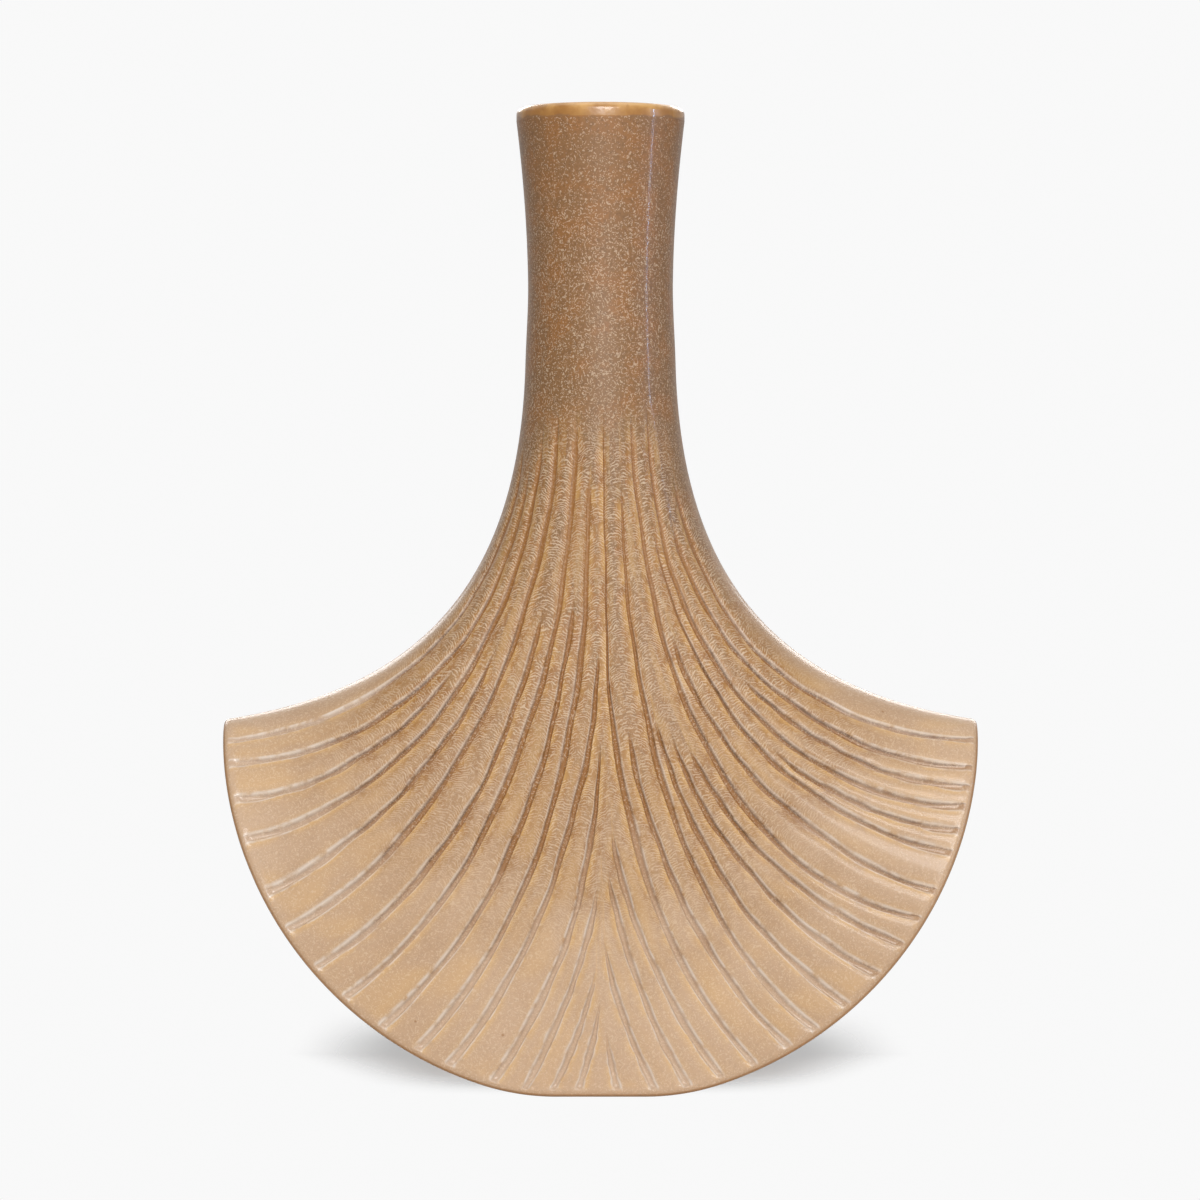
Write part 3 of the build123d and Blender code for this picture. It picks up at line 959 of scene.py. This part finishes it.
def crystal_mask(skin, groups):
    """Crystals all over, in rows of small arcs on the ribs and thinner in the flutes."""
    lip_near = skin.high.fade(280 * MM, 325 * MM)
    cover = 0.92 - 0.14 * lip_near
    grown = use(skin.tree, groups["crystal"], Place=skin.place, Scale=CRYSTAL_SCALE, Cover=cover)
    crystals = grown["Mask"] * (0.7 - 0.1 * lip_near)
    on_ribs = skin.down.fade(0.02, 0.14) * skin.down.fade(0.95, 0.75) * skin.rib
    arcs = rib_arcs(skin) * (on_ribs * (1 - skin.pool.most(0.7 * skin.gold)))
    bits = (crystals * (1 - 0.25 * on_ribs)).most(arcs) * (1 - 0.5 * skin.pool)
    by_flute = skin.pool.most(skin.shade) * skin.down.fade(0.35, 0.6)
    return bits.most(crystals * by_flute)


def body_material(glaze, groups):
    """Satin beige glaze that darkens up the neck, breaks ochre over edges and pools in the flutes, with
    painted shade and highlights along the flutes.
    """
    material, tree, shader = new_material("speckled_body_glaze")
    skin = BodySkin(tree, groups)
    colour = pool_layer(skin, glaze, edge_layer(skin, glaze, ground_layer(skin, glaze)))
    bits = crystal_mask(skin, groups)
    colour = skin.coat(bits * (0.4 + 0.18 * skin.upper), colour, glaze.crystal)
    # Amber along the lower edge and under the lip, iron spots, and a foot wiped clean of glaze
    colour = skin.coat(0.7 * skin.edge.fade(0.5, 1.0), colour, glaze.amber)
    band = use(tree, groups["amber"], Place=skin.place, Line=AMBER_LINE)["Mask"]
    colour = skin.coat(band, colour, glaze.amber)
    spots = use(tree, groups["pinhole"], Place=skin.place)["Mask"]
    colour = skin.coat(0.6 * spots, colour, glaze.brown)
    bare = skin.high.fade(0.6 * MM, 0.2 * MM)
    colour = skin.coat(bare, colour, glaze.clay)
    tree.links.new(colour, shader.inputs["Base Color"])
    (0.48 + (0.12 * bits - 0.08 * skin.pool) + 0.3 * bare).into(shader.inputs["Roughness"])
    (0.14 - 0.14 * bare).into(shader.inputs["Coat Weight"])
    bumped(bits + 0.5 * skin.grain - spots, shader, 0.3, 0.2 * MM)
    shader.inputs["Specular IOR Level"].default_value = 0.35
    shader.inputs["Coat Roughness"].default_value = 0.11
    return material


def lip_material(glaze, groups):
    """Glossy amber glaze on the neck's own: honey-coloured over the crest, brown where it gathers."""
    material, tree, shader = new_material("amber_lip_glaze")
    place = object_place(tree)
    mottle = use(tree, groups["mottle"], Place=place, Scale=110.0)
    band = use(tree, groups["amber"], Place=place, Line=AMBER_LINE)
    level = parts(tree, place)[2] + 2.2 * MM * (mottle["Slow"] - 0.5)
    crest = level.fade(LIP_HIGH.z - 2.8 * MM, LIP_HIGH.z)
    colour = coat(tree, 0.9 * crest, glaze.amber, glaze.honey)
    colour = coat(tree, 0.35 * mottle["Slow"], colour, glaze.ochre)
    pits = use(tree, groups["pinhole"], Place=place, Scale=230.0, Share=0.1)["Mask"]
    stains = cloud(tree, place, 150.0, 3.0, 0.6).fade(0.56, 0.68)
    for amount in (0.35 * band["Brim"], 0.5 * stains, 0.8 * pits):
        colour = coat(tree, amount, colour, glaze.brown)
    crystals = use(tree, groups["crystal"], Place=place, Scale=300.0, Cover=0.35)["Mask"]
    under = coat(tree, 0.4 * crystals, glaze.neck, glaze.crystal)
    tree.links.new(coat(tree, band["Mask"], under, colour), shader.inputs["Base Color"])
    (0.44 - 0.16 * band["Mask"] + 0.12 * mottle["Grain"]).into(shader.inputs["Roughness"])
    bumped(0.7 * mottle["Slow"] - pits, shader, 0.35, 0.4 * MM)
    shader.inputs["Coat Weight"].default_value = 0.2
    shader.inputs["Coat Roughness"].default_value = 0.06
    return material


def clay_material(glaze, groups):
    """Bare fired clay, matt and grainy."""
    material, tree, shader = new_material("matt_bare_clay")
    place = object_place(tree)
    mottle = use(tree, groups["mottle"], Place=place, Scale=60.0)
    spots = use(tree, groups["pinhole"], Place=place, Scale=260.0, Share=0.2)["Mask"]
    colour = coat(tree, 0.35 * mottle["Slow"], glaze.clay, glaze.neck)
    colour = coat(tree, 0.5 * spots, colour, glaze.brown)
    tree.links.new(colour, shader.inputs["Base Color"])
    (0.72 + 0.2 * mottle["Grain"]).into(shader.inputs["Roughness"])
    bumped(mottle["Grain"], shader, 0.5, 0.4 * MM)
    return material


def glazes(context):
    """The vase's materials, made once."""
    if "speckled_body_glaze" not in bpy.data.materials:
        groups = {"crystal": crystal_group(), "mottle": mottle_group()}
        groups |= {"pinhole": pinhole_group(), "amber": amber_group()}
        for make in (body_material, lip_material, clay_material):
            make(context.scene.vase_glaze, groups)
    return bpy.data.materials


# Operators


class VASE_OT_fan_shells(bpy.types.Operator):
    """Build the two fluted shells of the fan"""

    bl_idname = "vase.fan_shells"
    bl_label = "Fan Shells"

    def execute(self, context):
        fan, flute = context.scene.vase_fan, context.scene.vase_flutes
        material = glazes(context)["speckled_body_glaze"]
        collar_radius = context.scene.vase_neck.spigot_radius + COLLAR_GAP
        points, masks = shell_rows(fan, flute, collar_radius, NECK_LOW.z)
        if not np.isfinite(points).all():
            raise RuntimeError("the fluted face has points that can't be placed")
        for name, turn in (("front", 1), ("rear", -1)):
            mesh = shell_mesh(f"{name}_fluted_shell", points * np.array((turn, turn, 1)), masks)
            piece_from_mesh(f"{name}_fluted_shell", mesh, material, [f"{name}_shell"])
        return {"FINISHED"}


class VASE_OT_base(bpy.types.Operator):
    """Build the curved slab that closes the fan along its lower edge"""

    bl_idname = "vase.base"
    bl_label = "Base Slab"

    def execute(self, context):
        fan = context.scene.vase_fan
        columns, rows = 241, 13
        bpy.ops.object.select_all(action="DESELECT")
        bpy.ops.mesh.primitive_grid_add(x_subdivisions=columns - 1, y_subdivisions=rows - 1, size=2)
        piece = bpy.context.object
        piece.name = piece.data.name = "curved_base"
        places = np.zeros(len(piece.data.vertices) * 3)
        piece.data.vertices.foreach_get("co", places)
        places = places.reshape(-1, 3)
        across = places[:, 0] * pi / 2
        _, _, centre, skin, below = edge_rounding(fan, across)
        edge = under_strip(fan, centre, skin, below, fan.cover - fan.edge_radius - SLAB_GAP)
        edge[:, 1] *= places[:, 1]
        edge -= SLAB_LIFT * below
        piece.data.vertices.foreach_set("co", edge.ravel())
        bpy.ops.object.mode_set(mode="EDIT")
        bpy.ops.mesh.select_all(action="SELECT")
        bpy.ops.mesh.remove_doubles(threshold=0.01 * MM)
        bpy.ops.mesh.normals_make_consistent(inside=False)
        bpy.ops.object.mode_set(mode="OBJECT")
        middle = min(piece.data.polygons, key=lambda polygon: abs(polygon.center.x) + abs(polygon.center.y))
        if middle.normal.z > 0:
            piece.data.flip_normals()
        thicken = piece.modifiers.new("slab", "SOLIDIFY")
        thicken.thickness = fan.slab
        thicken.offset = -1
        bpy.ops.object.modifier_apply(modifier=thicken.name)
        low = piece.data.attributes.new("down", "FLOAT", "POINT")
        low.data.foreach_set("value", np.ones(len(piece.data.vertices), np.float32))
        finish_piece(piece, glazes(context)["speckled_body_glaze"], ["base_slab"])
        return {"FINISHED"}


class VASE_OT_neck(bpy.types.Operator):
    """Draw up the neck with its spigot and bore"""

    bl_idname = "vase.neck"
    bl_label = "Neck"

    def execute(self, context):
        fan, neck = context.scene.vase_fan, context.scene.vase_neck
        flare = (sin(neck.lip_flare), cos(neck.lip_flare))
        upright = (0.012, 1)
        joint = (fan.joint_radius, fan.height)
        waist = (neck.waist_radius, fan.height + neck.waist_rise)
        rim = (neck.lip_radius, LIP_LOW.z)
        throat = (neck.bore_radius, fan.height + neck.straight_rise)
        mouth = (neck.lip_radius - neck.lip_thickness, LIP_LOW.z)
        profile = [(neck.bore_radius, NECK_LOW.z), (neck.spigot_radius, NECK_LOW.z)]
        profile += [(neck.spigot_radius, fan.height), joint]
        profile += curve_points(joint, (-sin(fan.joint_slope), cos(fan.joint_slope)), waist, upright, 14)
        profile += curve_points(waist, upright, rim, flare, 30)
        profile += [mouth]
        profile += curve_points(mouth, (-flare[0], -flare[1]), throat, (0, -1), 14)
        heights = np.linspace(throat[1], fan.height, 9)[1:]
        profile += [(neck.bore_radius, height) for height in heights.tolist()]
        piece = lathe("drawn_neck", profile, neck.sides)
        finish_piece(piece, glazes(context)["speckled_body_glaze"], ["neck_tube"])
        return {"FINISHED"}


class VASE_OT_lip(bpy.types.Operator):
    """Roll the lip round the mouth"""

    bl_idname = "vase.lip"
    bl_label = "Lip"

    def execute(self, context):
        neck = context.scene.vase_neck
        half = neck.lip_thickness / 2
        middle = neck.lip_radius - half
        crest = LIP_HIGH.z - half
        profile = [(middle - half, LIP_LOW.z), (middle + half, LIP_LOW.z)]
        for turn in np.linspace(0, pi, 17).tolist():
            profile.append((middle + half * cos(turn), crest + half * sin(turn)))
        piece = lathe("rolled_lip", profile, neck.sides)
        finish_piece(piece, glazes(context)["amber_lip_glaze"], ["lip_ring"])
        return {"FINISHED"}


class VASE_OT_seam_coils(bpy.types.Operator):
    """Give the coils of clay inside their bare finish"""

    bl_idname = "vase.seam_coils"
    bl_label = "Seam Coils"

    def execute(self, context):
        for name in ("neck_seam_coil", "right_seam_coil", "left_seam_coil"):
            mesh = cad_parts[name].data
            mesh.materials.clear()
            mesh.materials.append(glazes(context)["matt_bare_clay"])
        return {"FINISHED"}


def soft_light(name, place, aim, size, energy):
    """A rectangular light at a place, turned to a point."""
    data = bpy.data.lights.new(name, "AREA")
    data.shape = "RECTANGLE"
    data.size, data.size_y = size
    data.energy = energy
    light = bpy.data.objects.new(name, data)
    bpy.context.scene.collection.objects.link(light)
    light.location = place
    light.rotation_euler = (Vector(aim) - Vector(place)).to_track_quat("-Z", "Y").to_euler()
    return light


class VASE_OT_stage(bpy.types.Operator):
    """Set the floor, the lights and the camera"""

    bl_idname = "vase.stage"
    bl_label = "Stage"

    def execute(self, context):
        stage = context.scene.vase_stage
        scene = context.scene
        scene.view_settings.view_transform = "Standard"
        self.floor(stage)
        self.world(stage)
        for name, place, aim, size, setting in LIGHTS:
            light = soft_light(name, place, aim, size, getattr(stage, setting))
            if name == "strip":
                light.data.color = STRIP_TINT
                light.visible_diffuse = False
        data = bpy.data.cameras.new("camera")
        data.sensor_width = 36.0
        data.lens = data.sensor_width * stage.camera_distance / stage.view_width
        data.clip_end = 20.0
        camera = bpy.data.objects.new("camera", data)
        scene.collection.objects.link(camera)
        camera.location = (-0.17 * MM, -stage.camera_distance, stage.camera_height)
        camera.rotation_euler = (pi / 2, 0, 0)
        scene.camera = camera
        return {"FINISHED"}

    def floor(self, stage):
        """A pale floor that fades into the background away from the vase, painted darker to the camera so
        that its shadow reads deeper.
        """
        bpy.ops.object.select_all(action="DESELECT")
        bpy.ops.mesh.primitive_plane_add(size=6)
        floor = bpy.context.object
        floor.name = "floor"
        material = bpy.data.materials.new("pale_floor")
        material.use_nodes = True
        tree = material.node_tree
        tree.nodes.clear()
        across, back, _ = parts(tree, object_place(tree))
        seen = Field(tree, add_node(tree, "ShaderNodeLightPath").outputs["Is Camera Ray"])
        # Painted shade: the floor the camera sees is darker than the floor that bounces light
        plain = stage.floor * (1 - (1 - stage.floor_seen) * seen)
        tint = add_node(tree, "ShaderNodeCombineColor", {0: plain, 1: plain, 2: plain}).outputs[0]
        matt = add_node(tree, "ShaderNodeBsdfDiffuse", {"Color": tint}).outputs[0]
        clear = add_node(tree, "ShaderNodeBsdfTransparent").outputs[0]
        # The part of the floor behind the vase where its shading is kept
        spread = 0.25 * back.most(0.0).least(150 * MM)
        beside = (abs(across) - spread).fade(78 * MM, 33 * MM)
        behind = back.fade(-30 * MM, 80 * MM) * back.fade(420 * MM, 200 * MM)
        hidden = seen * (1 - beside * behind * stage.shadow)
        mixed = add_node(tree, "ShaderNodeMixShader", {0: hidden, 1: matt, 2: clear})
        add_node(tree, "ShaderNodeOutputMaterial", {"Surface": mixed.outputs[0]})
        floor.data.materials.append(material)

    def world(self, stage):
        """Even light from all around, with a pale background for what is seen directly or mirrored."""
        world = bpy.data.worlds.new("studio")
        world.use_nodes = True
        bpy.context.scene.world = world
        tree = world.node_tree
        tree.nodes.clear()
        rays = add_node(tree, "ShaderNodeLightPath").outputs
        kinds = ("Is Camera Ray", "Is Glossy Ray", "Is Transmission Ray")
        direct, glossy, through = (Field(tree, rays[kind]) for kind in kinds)
        _, way, up = parts(tree, add_node(tree, "ShaderNodeTexCoord").outputs["Generated"])
        above = way.fade(-0.1, 0.4) * up.fade(0.1, 0.45)
        mirrored = (0.6 * way.fade(0.3, 0.9)).most(above)
        shade = stage.floor * (0.2 + 0.8 * direct.most(mirrored))
        white = (1, 1, 1, 1)
        lit = add_node(tree, "ShaderNodeBackground", {"Color": white, "Strength": stage.ambient}).outputs[0]
        pale = add_node(tree, "ShaderNodeBackground", {"Color": white, "Strength": shade}).outputs[0]
        seen = direct.most(glossy).most(through)
        mixed = add_node(tree, "ShaderNodeMixShader", {0: seen, 1: lit, 2: pale})
        add_node(tree, "ShaderNodeOutputWorld", {"Surface": mixed.outputs[0]})


OPERATORS = (
    VASE_OT_fan_shells,
    VASE_OT_base,
    VASE_OT_neck,
    VASE_OT_lip,
    VASE_OT_seam_coils,
    VASE_OT_stage,
)


class VASE_PT_sidebar(bpy.types.Panel):
    """Lists the vase's pieces and sizes"""

    bl_label = "Fan Vase"
    bl_idname = "VASE_PT_sidebar"
    bl_space_type = "VIEW_3D"
    bl_region_type = "UI"
    bl_category = "Vase"

    def draw(self, context):
        for operator in OPERATORS:
            self.layout.operator(operator.bl_idname)
        for name in SETTINGS:
            box = self.layout.box()
            settings = getattr(context.scene, name)
            for key in settings.bl_rna.properties.keys():
                if key not in ("rna_type", "name"):
                    box.prop(settings, key)


SETTINGS = {
    "vase_fan": FanSizes,
    "vase_flutes": FluteSizes,
    "vase_neck": NeckSizes,
    "vase_glaze": GlazeColours,
    "vase_stage": StageSettings,
}


def register():
    for group in SETTINGS.values():
        bpy.utils.register_class(group)
    for operator in OPERATORS:
        bpy.utils.register_class(operator)
    bpy.utils.register_class(VASE_PT_sidebar)
    for name, group in SETTINGS.items():
        setattr(bpy.types.Scene, name, PointerProperty(type=group))


def unregister():
    for name in SETTINGS:
        delattr(bpy.types.Scene, name)
    bpy.utils.unregister_class(VASE_PT_sidebar)
    for operator in reversed(OPERATORS):
        bpy.utils.unregister_class(operator)
    for group in reversed(SETTINGS.values()):
        bpy.utils.unregister_class(group)


def main():
    register()
    bpy.ops.vase.fan_shells()
    bpy.ops.vase.base()
    bpy.ops.vase.neck()
    bpy.ops.vase.lip()
    bpy.ops.vase.seam_coils()
    bpy.ops.vase.stage()


if __name__ == "__main__":
    main()
